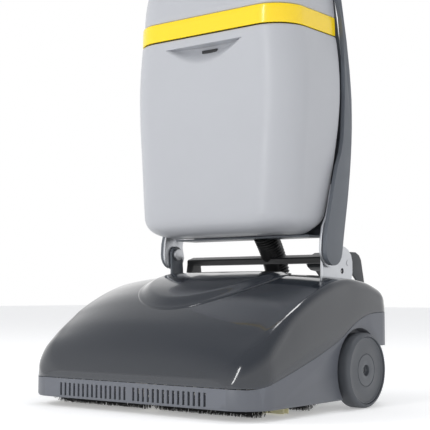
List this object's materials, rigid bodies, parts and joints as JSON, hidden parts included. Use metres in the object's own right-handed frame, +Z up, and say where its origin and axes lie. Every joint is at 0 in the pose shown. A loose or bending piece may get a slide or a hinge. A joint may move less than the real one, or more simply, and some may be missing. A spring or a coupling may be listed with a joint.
{
  "type": "wet dry floor scrubber",
  "caption": "Upright floor scrubber with a low roller-brush head on two rear wheels, a suction bar, a removable tank and a tilting handle.",
  "frame": {"origin": "on the floor, under the middle of the machine's bounding box", "axes": "+X across the machine, -Y towards its front, +Y towards the operator, +Z up"},
  "size_m": [0.52, 0.452, 1.1554],
  "materials": {
    "gloss_grey": "glossy",
    "matte_grey": "satin",
    "tank_grey": "satin",
    "yellow": "glossy",
    "black": "matte",
    "wheel_grey": "matte",
    "tyre_grey": "matte",
    "steel": "brushed",
    "cast": "satin",
    "lip": "matte",
    "bristle": "matte",
    "nylon": "satin",
    "hose": "matte"
  },
  "bodies": {
    "head": {"skirt": "matte_grey", "head_cover": "gloss_grey", "motor_dome": "gloss_grey", "deck": "cast", "end_plate_left": "cast", "end_plate_right": "cast", "suction_bar": "matte_grey", "suction_lip_front": "lip", "suction_lip_rear": "lip", "suction_duct": "black", "brush_motor": "cast", "drive_belt": "hose", "spray_bar": "black", "wheel_axle": "steel", "bracket_left": "matte_grey", "bracket_right": "steel", "pivot_bolt_left": "steel", "pivot_bolt_right": "steel", "pedal_pin": "steel", "suction_hose": "hose", "cross_beam": "black"},
    "front_brush": {"front_brush_core": "nylon", "front_brush_bristles_left": "bristle", "front_brush_bristles_right": "bristle", "front_brush_gear": "nylon"},
    "rear_brush": {"rear_brush_core": "nylon", "rear_brush_bristles_left": "bristle", "rear_brush_bristles_right": "bristle", "rear_brush_gear": "nylon", "rear_brush_pulley": "cast"},
    "idler_front": {"idler_gear_front": "nylon"},
    "idler_rear": {"idler_gear_rear": "nylon"},
    "motor_rotor": {"motor_pulley": "cast"},
    "wheel_left": {"wheel_disc_left": "wheel_grey", "wheel_tyre_left": "tyre_grey"},
    "wheel_right": {"wheel_disc_right": "wheel_grey", "wheel_tyre_right": "tyre_grey"},
    "pedal": {"release_pedal": "black"},
    "upright": {"side_panel_left": "matte_grey", "side_panel_right": "matte_grey", "arm_plate_left": "steel", "arm_plate_right": "steel", "back_panel": "matte_grey", "yellow_band": "yellow", "upper_housing": "tank_grey", "turbine_tray": "matte_grey", "suction_turbine": "black", "handle_tube": "cast", "hand_grip": "hose", "switch_box": "black", "cord_hook_lower": "black", "cord_gland": "black"},
    "tank": {"tank": "tank_grey"},
    "cap": {"tank_cap": "black"},
    "latch": {"tank_latch": "black"},
    "switch": {"power_switch": "yellow"},
    "lever": {"solution_lever": "black"},
    "hook": {"cord_hook_upper": "black"}
  },
  "joints": [
    {"name": "handle_tilt", "type": "hinge", "parent": "head", "child": "upright", "pos_m": [0, 0.091, 0.264], "axis": [-1, 0, 0], "range_deg": [0, 45], "deforming": ["suction_hose"]},
    {"name": "tank_release", "type": "slide", "parent": "upright", "child": "tank", "axis": [0, -1, 0], "range_m": [0, 0.2]},
    {"name": "cap_turn", "type": "hinge", "parent": "tank", "child": "cap", "pos_m": [0, 0.042, 0.64], "axis": [0, 0, 1], "range_deg": [0, 90]},
    {"name": "latch_press", "type": "slide", "parent": "tank", "child": "latch", "axis": [0, 1, 0], "range_m": [0, 0.004], "stiffness_N_per_m": 600},
    {"name": "rear_brush_spin", "type": "hinge", "parent": "head", "child": "rear_brush", "pos_m": [0, -0.028, 0.052], "axis": [1, 0, 0], "continuous": true},
    {"name": "front_brush_spin", "type": "hinge", "parent": "head", "child": "front_brush", "pos_m": [0, -0.16, 0.052], "axis": [1, 0, 0], "continuous": true},
    {"name": "idler_front_spin", "type": "hinge", "parent": "head", "child": "idler_front", "pos_m": [0.23, -0.116, 0.052], "axis": [1, 0, 0], "continuous": true},
    {"name": "idler_rear_spin", "type": "hinge", "parent": "head", "child": "idler_rear", "pos_m": [0.23, -0.072, 0.052], "axis": [1, 0, 0], "continuous": true},
    {"name": "motor_spin", "type": "hinge", "parent": "head", "child": "motor_rotor", "pos_m": [0.2, -0.004, 0.154], "axis": [1, 0, 0], "continuous": true},
    {"name": "wheel_left_spin", "type": "hinge", "parent": "head", "child": "wheel_left", "pos_m": [-0.245, 0.075, 0.062], "axis": [1, 0, 0], "continuous": true},
    {"name": "wheel_right_spin", "type": "hinge", "parent": "head", "child": "wheel_right", "pos_m": [0.245, 0.075, 0.062], "axis": [1, 0, 0], "continuous": true},
    {"name": "pedal_press", "type": "hinge", "parent": "head", "child": "pedal", "pos_m": [0.12, 0.159, 0.244], "axis": [-1, 0, 0], "range_deg": [0, 10], "stiffness_Nm_per_rad": 6, "springref_deg": -8.59},
    {"name": "power_rocker", "type": "hinge", "parent": "upright", "child": "switch", "pos_m": [0, 0.11348, 1.0662], "axis": [1, 0, 0], "range_deg": [0, 8]},
    {"name": "lever_squeeze", "type": "hinge", "parent": "upright", "child": "lever", "pos_m": [0.06, 0.11208, 1.0873], "axis": [-1, 0, 0], "range_deg": [0, 8], "stiffness_Nm_per_rad": 2, "springref_deg": -5.73},
    {"name": "hook_swivel", "type": "hinge", "parent": "upright", "child": "hook", "pos_m": [0, 0.156, 0.7], "axis": [0, 1, 0], "range_deg": [0, 180]}
  ],
  "couplings": [
    {"joint": "front_brush_spin", "follows": "rear_brush_spin", "ratio": -1},
    {"joint": "idler_front_spin", "follows": "rear_brush_spin", "ratio": 1},
    {"joint": "idler_rear_spin", "follows": "rear_brush_spin", "ratio": -1},
    {"joint": "motor_spin", "follows": "rear_brush_spin", "ratio": 1.2857}
  ]
}
